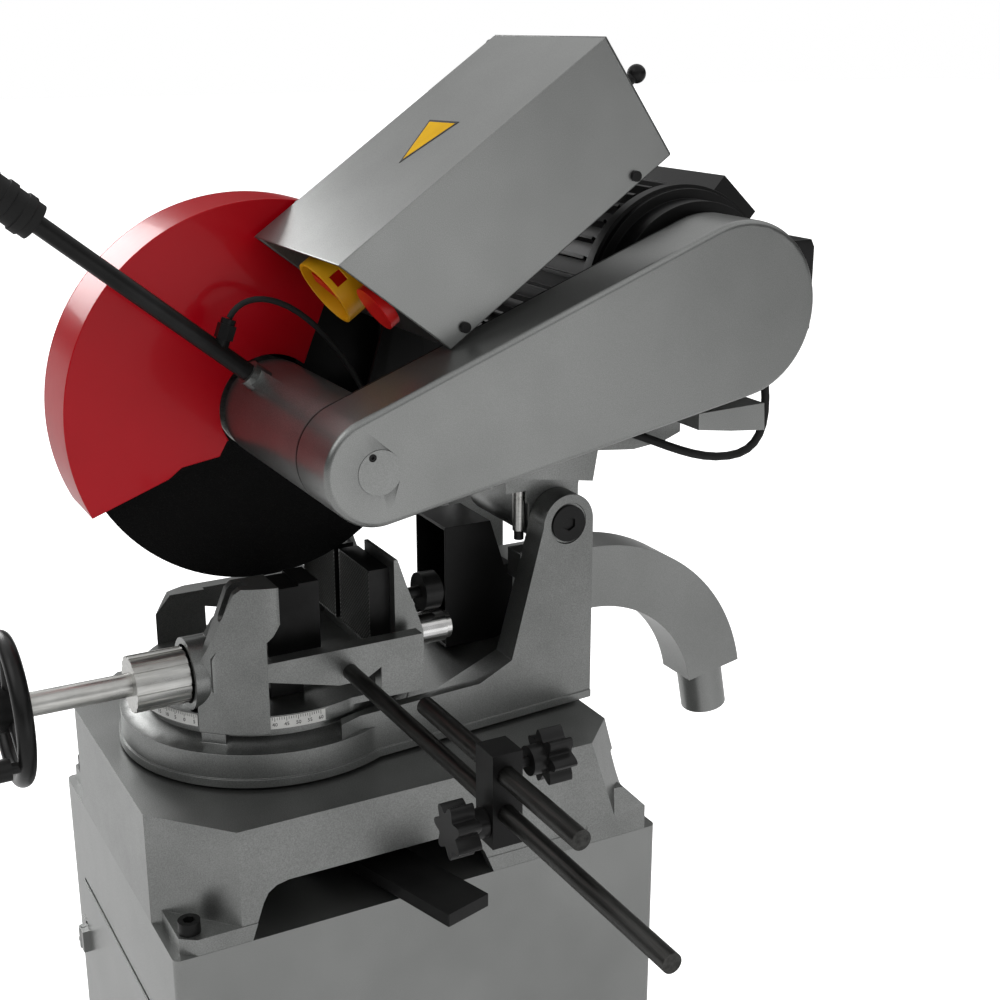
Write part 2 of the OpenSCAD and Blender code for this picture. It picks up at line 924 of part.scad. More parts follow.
module cover_cap() {
    color(steel)
        difference() {
            xcyl(cover_face_x - 2.6, cover_face_x + 0.4, spindle_y, spindle_z, 18.7);
            xcyl(cover_face_x - 4, cover_face_x + 1, spindle_y - 6, spindle_z + 13, 3.3);
        }
    color(dark)
        translate([cover_face_x - 2.6, spindle_y - 6, spindle_z + 13])
            rotate([0, 90, 0])
                difference() {
                    cylinder(r = 3.2, h = 2.6);
                    translate([0, 0, 1])
                        cylinder(r = 1.6, h = 3, $fn = 6);
                }
}

module drive_belts() {
    color(black)
        for (x = [pulley_x0 + 4.3, pulley_x0 + 15.3])
            difference() {
                yz(x, x + 8.4)
                    belt_outline(spindle_pulley_r + 0.3, motor_pulley_r + 0.3);
                yz(x - 1, x + 9.4)
                    belt_outline(spindle_pulley_r - 5.8, motor_pulley_r - 5.8);
            }
}

// ---------- motor ----------

module motor_stator() {
    fins = 32;
    color(black)
        difference() {
            union() {
                xcyl(-70, 162, motor_y, motor_z, 88);
                for (i = [0:fins - 1])
                    translate([0, motor_y, motor_z])
                        rotate([i * 360 / fins, 0, 0])
                            block([-66, -1.6, 80], [158, 1.6, 99]);
                // raised lug at the upper back and feet below
                translate([0, motor_y, motor_z])
                    rotate([-43, 0, 0])
                        block([-60, -26, 80], [160, 26, 118]);
                for (x = [-55, 78])
                    block([x, motor_y - 80, 1090.1], [x + 30, motor_y + 80, 1124]);
            }
            xcyl(-71, 163, motor_y, motor_z, 66);
        }
}

module motor_shield() {
    color(black)
        difference() {
            union() {
                xcyl(162.1, 184, motor_y, motor_z, 97);
                xcyl(166, 178, motor_y, motor_z, 100.5, $fn = fine);
                xcyl(184, 206, motor_y, motor_z, 88);
                xcyl(206, cover_x0 - 3.5, motor_y, motor_z, 60);
            }
            xcyl(162, 176, motor_y, motor_z, 80);
            xcyl(160, 240, motor_y, motor_z, 16);
        }
}

module motor_fan_cover() {
    slots = 24;
    color(black)
        difference() {
            xcyl(-138, -70.1, motor_y, motor_z, 98);
            xcyl(-135, -60, motor_y, motor_z, 95);
            for (i = [0:slots - 1])
                translate([0, motor_y, motor_z])
                    rotate([i * 360 / slots, 0, 0])
                        block([-140, -3, 35], [-130, 3, 82]);
        }
}

module motor_rotor() {
    color(steel) {
        xcyl(-118, 273, motor_y, motor_z, 13.95);
        xcyl(-50, 140, motor_y, motor_z, 64);
    }
    color(black) {
        xcyl(-120, -92, motor_y, motor_z, 26);
        for (i = [0:6])
            translate([0, motor_y, motor_z])
                rotate([i * 360 / 7, 0, 0])
                    block([-118, -2, 24], [-94, 2, 84]);
    }
}

module motor_terminal_box() {
    color(black)
        difference() {
            union() {
                block([40, motor_y + 84, 1140], [150, 528, 1228]);
                block([36, 470, 1136], [154, 478, 1234]);
                yz(40, 150)
                    polygon([[470, 1220], [470, 1236], [536, 1236], [540, 1228], [540, 1146], [528, 1140]]);
            }
            xcyl(-71, 200, motor_y, motor_z, 99.2);
        }
}

module motor_plate() {
    color(steel)
        difference() {
            union() {
                block([-80, 262, 1070.1], [112, 437, 1090]);
                // thick lug at the rear right
                yz(109, 212)
                    polygon([[362, 1076.5], [362, 1092.6], [438, 1094], [440, 1067], [400, 1071]]);
            }
            for (x = [-40, 93], y = [motor_y - 70, motor_y + 70])
                block([x - 6, y - 14, 1060], [x + 6, y + 14, 1100]);
        }
}

// ---------- guards ----------

// side outline of the red guard: the disc circle cut off along its lower edges
module guard_outline(r) {
    intersection() {
        circle(r, $fn = fine);
        polygon([[-260, -114], [-101, -55], [-88, -45.5], [-52.7, -40], [-44.6, -26], [26, -34], [28, 25],
            [43, 62], [58, 98], [76, 124], [100, 260], [-260, 260]]);
    }
}

module at_spindle(x0, x1) {
    translate([x0, spindle_y, spindle_z])
        rotate([90, 0, 90])
            linear_extrude(x1 - x0)
                children();
}

module disc_guard() {
    hw = guard_w / 2;
    color(red)
        difference() {
            at_spindle(-hw + 2, hw)
                guard_outline(guard_r);
            xcyl(-hw, hw - 2, spindle_y, spindle_z, guard_r - 2.5, $fn = fine);
            xcyl(hw - 4, hw + 1, spindle_y, spindle_z, 50);
        }
}

module guard_cover() {
    hw = guard_w / 2;
    color(red)
        at_spindle(-hw - 0.1, -hw + 1.9)
            guard_outline(guard_r);
    color(dark)
        for (a = [100, 140, 180])
            xcyl(-hw - 6, -hw - 0.1, spindle_y + 165 * cos(a), spindle_z + 165 * sin(a), 8);
}

// black sheet hood that closes the disc at the back
module spark_hood() {
    hw = guard_w / 2 - 3;
    color(black)
        difference() {
            at_spindle(-hw, hw)
                intersection() {
                    circle(183, $fn = fine);
                    polygon([[18, -34], [20, 25], [35, 62], [50, 98], [68, 124], [92, 220], [240, 220],
                        [240, -30], [60, -60]]);
                }
            xcyl(-hw + 2, hw - 2, spindle_y, spindle_z, 181, $fn = fine);
            xcyl(-50, 50, spindle_y, spindle_z, 47);
        }
}

// ---------- switch box ----------

// frame of the switch box: local y along the slope, local z square to it
module at_box() {
    translate(tilt_front)
        rotate([box_pitch, 0, 0])
            children();
}

module switch_box() {
    wall = 2.4;
    skin = 1.6;
    color(steel)
        difference() {
            at_box()
                block([box_x0 + skin, plate_u, -box_h], [box_x1 - skin, box_len - 0.1, -skin]);
            at_box()
                block([box_x0 + skin + wall, plate_u + wall, -box_h + wall],
                    [box_x1 - skin - wall, box_len - 0.1 - wall, -skin - wall]);
            // holes for the isolator and the stop button
            at_plate(ring_x, ring_n)
                zcyl(-5, 1, 0, 0, 7.3);
            at_plate(button_x, button_n)
                zcyl(-5, 1, 0, 0, 9.2);
        }
    // strips that stand on the arm
    color(black) {
        yz(98, 102)
            polygon([[68, 1106.2], [84, 1106.2], [106, 1196], [94, 1187.5]]);
        yz(60, 64)
            polygon([[105, 1105.2], [105, 1196], [150, 1227], [150, 1105.2]]);
    }
}

// folded cover: top and both sides in one sheet, with slanted front edges on the sides
module box_lid() {
    t = 1.5;
    color(steel)
        at_box()
            difference() {
                yz(box_x0, box_x1)
                    polygon([[0, 0], [plate_u - 1, -box_h], [box_len, -box_h], [box_len, 0]]);
                yz(box_x0 + t, box_x1 - t)
                    translate([-20, -t])
                        mirror([0, 1])
                            square([box_len + 40, box_h + 10]);
            }
}

module box_screws() {
    color(dark)
        at_box() {
            for (u = [56.5, 256])
                xcyl(box_x1 + 0.01, box_x1 + 3.4, u, -box_h + 7, 4.6);
            for (u = [51, 288])
                xcyl(box_x0 - 4.5, box_x0 - 0.01, u, -6, 5);
            // ball-ended stud on the back face
            translate([228, box_len - 0.09, -45])
                rotate([-90, 0, 0]) {
                    cylinder(r = 5, h = 8);
                    translate([0, 0, 12])
                        sphere(8);
                }
        }
}

// frame on the front plate: local z points out of it, local y points up it
module at_plate(x, n) {
    translate(tilt_front)
        rotate([box_pitch, 0, 0])
            translate([x, plate_u, n])
                rotate([90, 0, 0])
                    children();
}

module isolator_ring() {
    color(yellow)
        at_plate(ring_x, ring_n)
            difference() {
                zcyl(0.05, 37, 0, 0, 31.5);
                zcyl(6, 40, 0, 0, 28.5);
                zcyl(-1, 20, 0, 0, 7.2);
                // hole for a padlock
                rotate([0, 0, 25])
                    block([25, -5.5, 20.5], [35, 5.5, 31.5]);
            }
}

module isolator_knob() {
    color(red)
        at_plate(ring_x, ring_n) {
            zcyl(-6, 9, 0, 0, 6.9);
            zcyl(8, 13, 0, 0, 24);
            rotate([0, 0, -28])
                block([-22, -5.5, 12], [22, 5.5, 32]);
        }
}

module stop_button() {
    color(red)
        at_plate(button_x, button_n) {
            zcyl(-6, 17, 0, 0, 9);
            zcyl(16, 25, 0, 0, 21);
        }
}

// ---------- operating lever and cables ----------

// frame of the lever: local z runs along it, away from the boss
module at_lever() {
    translate([lever_x, 2, 1122])
        rotate([90 - lever_tilt, 0, 0])
            children();
}

module lever_bar() {
    color(black) {
        at_lever()
            translate([0, 0, 18.5])
                cylinder(r = 8, h = 356);
        // cable gland on the lever
        translate([lever_x, -53, 1172])
            rotate([-20, 0, 0]) {
                cylinder(r = 6.5, h = 26);
                translate([0, 0, 8])
                    cylinder(r = 8.5, h = 13, $fn = 6);
            }
    }
}

module lever_grip() {
    color(black)
        at_lever()
            translate([0, 0, 262])
                difference() {
                    union() {
                        cylinder(r = 16, h = 122);
                        for (i = [0:5])
                            translate([0, 0, 8 + i * 18])
                                cylinder(r = 17.5, h = 8);
                    }
                    translate([0, 0, -1])
                        cylinder(r = 8.05, h = 119);
                    translate([0, 0, 110])
                        cylinder(r = 7.2, h = 13);
                }
}

module trigger_button() {
    color([0.05, 0.4, 0.12])
        at_lever()
            translate([0, 0, 380])
                cylinder(r = 7, h = 10);
}

// cable from the lever's gland down to the arm, in front of the switch box
module handle_cable() {
    steps = 16;
    color(black)
        sweep(concat(
            [for (i = [0:steps])
                bez([80, -43.9, 1197], [81, -28, 1226], [88, 22, 1216], [92, 66, 1138], i / steps)],
            [[93, 73, 1125], [94, 79, 1107]]), 2.7, 12, [1, 0, 0]);
}

// cable from the arm's side that hangs below the motor plate and rises to the terminal box
module motor_cable() {
    steps = 10;
    low = [150, 445, 1025.4];
    color(black)
        sweep(concat(
            [for (i = [0:steps - 1]) bez([111.2, 322, 1062], [150, 350, 1060], [150, 395, 1026], low, i / steps)],
            [for (i = [0:steps]) bez(low, [150, 492, 1024], [148, 500, 1062], [140, 484, 1137.6], i / steps)]),
            4.3, 12, [1, 0, 0]);
}

module stop_bolt() {
    color(steel) {
        zcyl(954, 1010, 70, stop_y, 5.5);
        zcyl(955, 997.8, 70, stop_y, 6.5);
    }
    color(dark)
        zcyl(945.2, 955.1, 70, stop_y, 5);
}

cabinet();
cabinet_door();
door_latch();
base_casting();
base_bolts();
swivel_post();
lock_lever();
bed_casting();
angle_scale();
vice_screw();
handwheel();
front_jaw();
front_jaw_plate();
rear_jaw();
rear_jaw_plates();
rear_guide_bar();
rear_lock_knob();
stop_rod();
stop_block();
stop_pin();
stop_knob_rear();
stop_knob_front();
turntable_bracket();
pivot_pin();
spark_chute();
rear_duct();
return_spring();
arm_casting();
spindle_bearings();
spindle_shaft();
spindle_pulley();
disc_flanges();
disc_nut();
abrasive_disc();
belt_cover();
cover_backplate();
cover_cap();
drive_belts();
motor_stator();
motor_shield();
motor_fan_cover();
motor_rotor();
motor_pulley();
motor_terminal_box();
motor_plate();
disc_guard();
guard_cover();
spark_hood();
switch_box();
box_lid();
box_screws();
isolator_ring();
isolator_knob();
stop_button();
lever_bar();
lever_grip();
trigger_button();
handle_cable();
motor_cable();
stop_bolt();
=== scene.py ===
"""Looks of an abrasive chop saw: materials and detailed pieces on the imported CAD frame."""
import math

import bmesh
import bpy
from mathutils import Matrix, Vector


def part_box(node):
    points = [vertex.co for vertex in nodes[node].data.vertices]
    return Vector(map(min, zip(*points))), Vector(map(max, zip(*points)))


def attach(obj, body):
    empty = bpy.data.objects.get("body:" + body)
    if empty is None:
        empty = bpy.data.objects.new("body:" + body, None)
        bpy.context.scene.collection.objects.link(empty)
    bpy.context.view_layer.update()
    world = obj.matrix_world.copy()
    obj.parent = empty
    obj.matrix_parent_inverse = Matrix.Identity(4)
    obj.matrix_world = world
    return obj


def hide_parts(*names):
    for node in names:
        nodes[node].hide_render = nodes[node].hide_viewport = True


MM = 0.001
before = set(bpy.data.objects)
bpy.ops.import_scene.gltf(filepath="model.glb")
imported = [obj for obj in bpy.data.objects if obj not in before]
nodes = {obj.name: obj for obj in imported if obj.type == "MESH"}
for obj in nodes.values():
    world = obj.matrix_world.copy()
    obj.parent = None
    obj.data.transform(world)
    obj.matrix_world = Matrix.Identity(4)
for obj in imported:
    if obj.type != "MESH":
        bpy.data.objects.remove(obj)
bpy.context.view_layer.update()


# ---------- node material helpers ----------

def new_material(name):
    """An empty node material with its shader; gives (material, nodes, links, shader)."""
    material = bpy.data.materials.new(name)
    material.use_nodes = True
    tree = material.node_tree
    shader = tree.nodes["Principled BSDF"]
    return material, tree.nodes, tree.links, shader


def noise(tree_nodes, links, scale, detail=4.0, rough=0.55, stretch=None):
    """Noise texture in object coordinates; stretch lengthens the grain along one or more axes."""
    coords = tree_nodes.new("ShaderNodeTexCoord")
    texture = tree_nodes.new("ShaderNodeTexNoise")
    texture.inputs["Scale"].default_value = scale
    texture.inputs["Detail"].default_value = detail
    texture.inputs["Roughness"].default_value = rough
    if stretch:
        mapping = tree_nodes.new("ShaderNodeMapping")
        mapping.inputs["Scale"].default_value = stretch
        links.new(coords.outputs["Object"], mapping.inputs["Vector"])
        links.new(mapping.outputs["Vector"], texture.inputs["Vector"])
    else:
        links.new(coords.outputs["Object"], texture.inputs["Vector"])
    return texture.outputs["Fac"]


def ramp(tree_nodes, links, value, stops):
    """Colour ramp over a value; stops are (position, colour) pairs."""
    node = tree_nodes.new("ShaderNodeValToRGB")
    elements = node.color_ramp.elements
    while len(elements) < len(stops):
        elements.new(0.5)
    for element, (position, colour) in zip(elements, stops):
        element.position = position
        element.color = (*colour, 1.0)
    links.new(value, node.inputs["Fac"])
    return node.outputs["Color"]


def span(tree_nodes, links, value, low, high, from_low=0.0, from_high=1.0):
    """Maps a value's range to low..high."""
    node = tree_nodes.new("ShaderNodeMapRange")
    node.inputs["From Min"].default_value = from_low
    node.inputs["From Max"].default_value = from_high
    node.inputs["To Min"].default_value = low
    node.inputs["To Max"].default_value = high
    links.new(value, node.inputs["Value"])
    return node.outputs["Result"]


def mix(tree_nodes, links, factor, first, second, blend="MIX"):
    """Mixes two colours; each is a socket or a colour."""
    node = tree_nodes.new("ShaderNodeMix")
    node.data_type = "RGBA"
    node.blend_type = blend
    colour_inputs = [s for s in node.inputs if s.type == "RGBA"]
    if isinstance(factor, float):
        node.inputs[0].default_value = factor
    else:
        links.new(factor, node.inputs[0])
    for socket, value in zip(colour_inputs, (first, second)):
        if isinstance(value, tuple):
            socket.default_value = (*value, 1.0)
        else:
            links.new(value, socket)
    return [s for s in node.outputs if s.type == "RGBA"][0]


def bump(tree_nodes, links, shader, heights):
    """Chains bump nodes; heights are (socket, distance in metres, strength)."""
    normal = None
    for height, distance, strength in heights:
        node = tree_nodes.new("ShaderNodeBump")
        node.inputs["Distance"].default_value = distance
        node.inputs["Strength"].default_value = strength
        links.new(height, node.inputs["Height"])
        if normal:
            links.new(normal, node.inputs["Normal"])
        normal = node.outputs["Normal"]
    links.new(normal, shader.inputs["Normal"])


# ---------- materials ----------

def metallic_paint(name, dark, light, metallic, rough, grain, relief):
    """Silver paint: metal flake, cloudy tone and fine orange-peel relief."""
    material, tn, links, shader = new_material(name)
    cloud = noise(tn, links, 6.0, 3.0)
    flake = noise(tn, links, grain, 2.0, 0.7)
    base = ramp(tn, links, cloud, [(0.35, dark), (0.65, light)])
    speck = ramp(tn, links, flake, [(0.40, (0.86, 0.86, 0.86)), (0.62, (1.10, 1.10, 1.10))])
    toned = mix(tn, links, 1.0, base, speck, "MULTIPLY")
    links.new(toned, shader.inputs["Base Color"])
    shader.inputs["Metallic"].default_value = metallic
    links.new(span(tn, links, noise(tn, links, 35.0), rough - 0.02, rough + 0.02), shader.inputs["Roughness"])
    bump(tn, links, shader, [(noise(tn, links, grain * 0.5), 0.0004, relief), (flake, 0.0001, relief * 0.6)])
    return material


def cast_paint(name, dark, light, rough):
    """Paint over a sand casting: soft lumps under a fine grain."""
    material, tn, links, shader = new_material(name)
    lumps = noise(tn, links, 45.0, 5.0)
    sand = noise(tn, links, 900.0, 3.0, 0.7)
    base = ramp(tn, links, noise(tn, links, 9.0, 4.0), [(0.33, dark), (0.68, light)])
    speck = ramp(tn, links, sand, [(0.38, (0.80, 0.80, 0.80)), (0.64, (1.14, 1.14, 1.14))])
    toned = mix(tn, links, 1.0, base, speck, "MULTIPLY")
    links.new(toned, shader.inputs["Base Color"])
    shader.inputs["Metallic"].default_value = 0.88
    links.new(span(tn, links, lumps, rough - 0.03, rough + 0.03), shader.inputs["Roughness"])
    bump(tn, links, shader, [(lumps, 0.0004, 0.20), (sand, 0.00012, 0.25)])
    return material


def gloss_paint(name, dark, light, coat):
    """Glossy enamel with slight orange peel and a clear top coat."""
    material, tn, links, shader = new_material(name)
    base = ramp(tn, links, noise(tn, links, 5.0), [(0.35, dark), (0.65, light)])
    links.new(base, shader.inputs["Base Color"])
    shader.inputs["Specular IOR Level"].default_value = 0.15
    shader.inputs["Coat Weight"].default_value = coat
    shader.inputs["Coat Roughness"].default_value = 0.06
    links.new(span(tn, links, noise(tn, links, 60.0), 0.28, 0.32), shader.inputs["Roughness"])
    bump(tn, links, shader, [(noise(tn, links, 140.0, 2.0), 0.0003, 0.12)])
    return material


def black_finish(name, tone, rough, grain, relief, metallic=0.0):
    """Black paint, oxide or moulded plastic: dusty patches and a fine grain."""
    material, tn, links, shader = new_material(name)
    dust = tuple(c * 1.6 + 0.002 for c in tone)
    base = ramp(tn, links, noise(tn, links, 22.0, 5.0), [(0.40, tone), (0.80, dust)])
    links.new(base, shader.inputs["Base Color"])
    shader.inputs["Specular IOR Level"].default_value = 0.22
    shader.inputs["Metallic"].default_value = metallic
    links.new(span(tn, links, noise(tn, links, 50.0), rough - 0.03, rough + 0.04), shader.inputs["Roughness"])
    bump(tn, links, shader, [(noise(tn, links, grain, 3.0, 0.7), 0.0002, relief)])
    return material


def brushed_metal(name, dark, light, rough, stretch):
    """Turned or ground metal: fine lines along one direction."""
    material, tn, links, shader = new_material(name)
    lines = noise(tn, links, 260.0, 3.0, 0.6, stretch)
    base = ramp(tn, links, lines, [(0.30, dark), (0.70, light)])
    stains = ramp(tn, links, noise(tn, links, 14.0, 5.0), [(0.35, (0.80, 0.79, 0.77)), (0.60, (1.0, 1.0, 1.0))])
    links.new(mix(tn, links, 1.0, base, stains, "MULTIPLY"), shader.inputs["Base Color"])
    shader.inputs["Metallic"].default_value = 1.0
    links.new(span(tn, links, lines, rough - 0.06, rough + 0.10), shader.inputs["Roughness"])
    bump(tn, links, shader, [(lines, 0.00008, 0.35)])
    return material


def abrasive_finish(name):
    """Pressed resin and grit: black with glinting grains and a coarse surface."""
    material, tn, links, shader = new_material(name)
    coords = tn.new("ShaderNodeTexCoord")
    cells = tn.new("ShaderNodeTexVoronoi")
    cells.inputs["Scale"].default_value = 620.0
    links.new(coords.outputs["Object"], cells.inputs["Vector"])
    grit = ramp(tn, links, cells.outputs["Distance"], [(0.05, (0.016, 0.016, 0.015)), (0.35, (0.004, 0.004, 0.004))])
    links.new(grit, shader.inputs["Base Color"])
    shader.inputs["Roughness"].default_value = 0.85
    shader.inputs["Specular IOR Level"].default_value = 0.15
    bump(tn, links, shader, [(cells.outputs["Distance"], 0.0006, 0.8)])
    return material


def plastic(name, dark, light, rough, gloss=0.3):
    """Coloured moulded plastic with a slight skin."""
    material, tn, links, shader = new_material(name)
    base = ramp(tn, links, noise(tn, links, 30.0), [(0.35, dark), (0.65, light)])
    links.new(base, shader.inputs["Base Color"])
    shader.inputs["Specular IOR Level"].default_value = gloss
    links.new(span(tn, links, noise(tn, links, 120.0), rough - 0.05, rough + 0.08), shader.inputs["Roughness"])
    bump(tn, links, shader, [(noise(tn, links, 900.0, 2.0), 0.0001, 0.15)])
    return material


SHEET = metallic_paint("silver_sheet_paint", (0.24, 0.245, 0.24), (0.28, 0.285, 0.28), 0.88, 0.34, 1500.0, 0.08)
COVER = metallic_paint("silver_cover_paint", (0.22, 0.225, 0.22), (0.26, 0.265, 0.26), 0.88, 0.33, 1400.0, 0.10)
CAST = cast_paint("silver_cast_paint", (0.19, 0.195, 0.19), (0.25, 0.255, 0.25), 0.34)
BED = cast_paint("bed_cast_paint", (0.17, 0.175, 0.17), (0.25, 0.255, 0.25), 0.32)
RED = gloss_paint("deep_red_enamel", (0.42, 0.0005, 0.006), (0.48, 0.001, 0.009), 0.10)
BLACK_PAINT = black_finish("black_paint", (0.003, 0.003, 0.003), 0.40, 500.0, 0.15)
BLACK_OXIDE = black_finish("black_oxide_steel", (0.014, 0.014, 0.014), 0.38, 700.0, 0.15, 0.6)
DARK_STEEL = brushed_metal("dark_steel", (0.035, 0.035, 0.034), (0.075, 0.075, 0.072), 0.38, (0.05, 1.0, 1.0))
BRIGHT_STEEL = brushed_metal("bright_steel", (0.42, 0.42, 0.41), (0.62, 0.62, 0.60), 0.28, (1.0, 0.1, 1.0))
CHROME = brushed_metal("chrome", (0.60, 0.60, 0.60), (0.75, 0.75, 0.75), 0.14, (1.0, 0.2, 1.0))
WORN_STEEL = black_finish("worn_black_steel", (0.07, 0.07, 0.068), 0.32, 700.0, 0.15, 0.9)
RAW_IRON = cast_paint("raw_iron", (0.06, 0.06, 0.06), (0.10, 0.10, 0.10), 0.50)
PLASTIC_BLACK = black_finish("black_plastic", (0.008, 0.008, 0.008), 0.30, 900.0, 0.15)
RUBBER = black_finish("black_rubber", (0.011, 0.011, 0.011), 0.62, 1200.0, 0.30)
ABRASIVE = abrasive_finish("abrasive")
YELLOW = plastic("yellow_plastic", (0.66, 0.31, 0.004), (0.74, 0.37, 0.008), 0.34)
LABEL_YELLOW = plastic("label_yellow", (0.72, 0.40, 0.003), (0.80, 0.46, 0.006), 0.50, 0.05)
RED_PLASTIC = plastic("red_plastic", (0.55, 0.008, 0.008), (0.66, 0.015, 0.012), 0.30)
GREEN_PLASTIC = plastic("green_plastic", (0.02, 0.16, 0.05), (0.03, 0.22, 0.07), 0.30)
INK = plastic("black_ink", (0.010, 0.010, 0.010), (0.016, 0.016, 0.016), 0.45)
WHITE_PLATE = plastic("white_plate", (0.62, 0.62, 0.60), (0.72, 0.72, 0.70), 0.40)

NODE_LOOKS = {
    SHEET: ["cabinet", "cabinet_door", "rear_duct", "switch_box", "box_lid", "motor_plate"],
    COVER: ["belt_cover", "cover_cap"],
    CAST: ["base_casting", "turntable_bracket", "arm_casting"],
    BED: ["bed_casting", "rear_jaw"],
    RED: ["disc_guard", "guard_cover"],
    BLACK_PAINT: ["spark_hood", "spark_chute", "cover_backplate", "motor_stator", "motor_shield",
                  "motor_fan_cover"],
    # front_jaw takes the near-black oxide finish as painted shade for its unlit body; the other parts in this list
    # are black oxide steel
    BLACK_OXIDE: ["front_jaw", "lock_lever", "stop_block", "front_jaw_plate", "rear_jaw_plates", "base_bolts",
                  "lever_bar", "box_screws", "pivot_pin", "disc_nut"],
    DARK_STEEL: ["stop_rod", "stop_pin", "swivel_post", "return_spring"],
    BRIGHT_STEEL: ["vice_screw", "spindle_shaft", "disc_flanges", "motor_rotor", "stop_bolt"],
    CHROME: ["rear_guide_bar", "spindle_bearings"],
    RAW_IRON: ["spindle_pulley", "motor_pulley"],
    PLASTIC_BLACK: ["door_latch", "handwheel", "rear_lock_knob", "stop_knob_rear", "stop_knob_front",
                    "motor_terminal_box"],
    RUBBER: ["drive_belts", "lever_grip", "handle_cable", "motor_cable"],
    ABRASIVE: ["abrasive_disc"],
    YELLOW: ["isolator_ring"],
    RED_PLASTIC: ["isolator_knob", "stop_button"],
    GREEN_PLASTIC: ["trigger_button"],
    WHITE_PLATE: ["angle_scale"],
}

# rounding of each node's edges, in millimetres; the rest take the default
EDGE_DEFAULT = 0.6
EDGE_ROUND = {
    "base_casting": 2.5, "bed_casting": 1.8, "turntable_bracket": 1.8, "arm_casting": 2.5,
    "front_jaw": 1.2, "rear_jaw": 1.5, "belt_cover": 0.8, "cabinet": 1.2, "disc_guard": 0.8,
    "box_lid": 1.6, "rear_duct": 0.7, "lock_lever": 1.5, "stop_block": 0.8, "abrasive_disc": 0.3,
    "isolator_ring": 1.2, "isolator_knob": 1.6, "stop_button": 2.0, "motor_stator": 0.5,
    "motor_terminal_box": 3.0, "handwheel": 1.0, "door_latch": 1.5, "rear_lock_knob": 1.5,
}


def dress(name, material):
    """Gives a CAD node its material, rounded edges and smooth shading."""
    obj = nodes[name]
    obj.data.materials.clear()
    obj.data.materials.append(material)
    for polygon in obj.data.polygons:
        polygon.use_smooth = True
    weld = obj.modifiers.new("weld", "WELD")
    weld.merge_threshold = 0.00001
    rounding = obj.modifiers.new("rounding", "BEVEL")
    rounding.width = EDGE_ROUND.get(name, EDGE_DEFAULT) * MM
    rounding.segments = 2
    rounding.limit_method = "ANGLE"
    rounding.angle_limit = math.radians(38)
    rounding.use_clamp_overlap = True
    creases = obj.modifiers.new("creases", "EDGE_SPLIT")
    creases.split_angle = math.radians(50)
    obj.modifiers.new("shading", "WEIGHTED_NORMAL")


def dress_nodes():
    for material, names in NODE_LOOKS.items():
        for name in names:
            dress(name, material)


dress_nodes()


def node_box(name):
    """Lowest and highest corner of a CAD node in millimetres."""
    low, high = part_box(name)
    return low / MM, high / MM


def repaint_faces(name, material, wanted):
    """Gives the faces of a CAD node whose centre passes the test a second material."""
    mesh = nodes[name].data
    mesh.materials.append(material)
    for polygon in mesh.polygons:
        if wanted(polygon.center / MM):
            polygon.material_index = 1


def repaint_parts():
    strip_width = 6
    strips = (62, 100)
    tip_top = 955.15
    repaint_faces("switch_box", BLACK_PAINT, lambda c: min(abs(c.x - x) for x in strips) < strip_width / 2)
    repaint_faces("stop_bolt", INK, lambda c: c.z < tip_top)
    cap_low, cap_high = node_box("cover_cap")
    screw = (cap_low + cap_high) / 2 + Vector((0, -6, 13))
    repaint_faces("cover_cap", BLACK_OXIDE, lambda c: math.hypot(c.y - screw.y, c.z - screw.z) < 3.25)


repaint_parts()


# ---------- detailed pieces ----------

def add_piece(name, bm, materials, body, replaced=(), smooth=True):
    """Turns a mesh in millimetres into a piece that rides on a body."""
    bmesh.ops.scale(bm, vec=(MM, MM, MM), verts=bm.verts)
    mesh = bpy.data.meshes.new(name)
    bm.to_mesh(mesh)
    bm.free()
    for material in materials:
        mesh.materials.append(material)
    for polygon in mesh.polygons:
        polygon.use_smooth = smooth
    obj = bpy.data.objects.new(name, mesh)
    bpy.context.scene.collection.objects.link(obj)
    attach(obj, body)
    if replaced:
        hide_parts(*replaced)
    return obj


def belt_loop(bm, x, centres, radii, steps=40):
    """Ring of vertices round two circles and the straight runs between them."""
    (y1, z1), (y2, z2) = centres
    r1, r2 = radii
    pitch = math.atan2(z2 - z1, y2 - y1)
    lean = math.asin((r2 - r1) / math.hypot(y2 - y1, z2 - z1))
    half = math.pi / 2 + lean
    loop = []
    for i in range(steps + 1):
        a = pitch - half + 2 * half * i / steps
        loop.append(bm.verts.new((x, y2 + r2 * math.cos(a), z2 + r2 * math.sin(a))))
    for i in range(steps + 1):
        a = pitch + half + 2 * (math.pi - half) * i / steps
        loop.append(bm.verts.new((x, y1 + r1 * math.cos(a), z1 + r1 * math.sin(a))))
    return loop


def ring_faces(bm, first, second):
    """Quads between two vertex rings of the same length."""
    count = len(first)
    for i in range(count):
        j = (i + 1) % count
        bm.faces.new((first[i], first[j], second[j], second[i]))


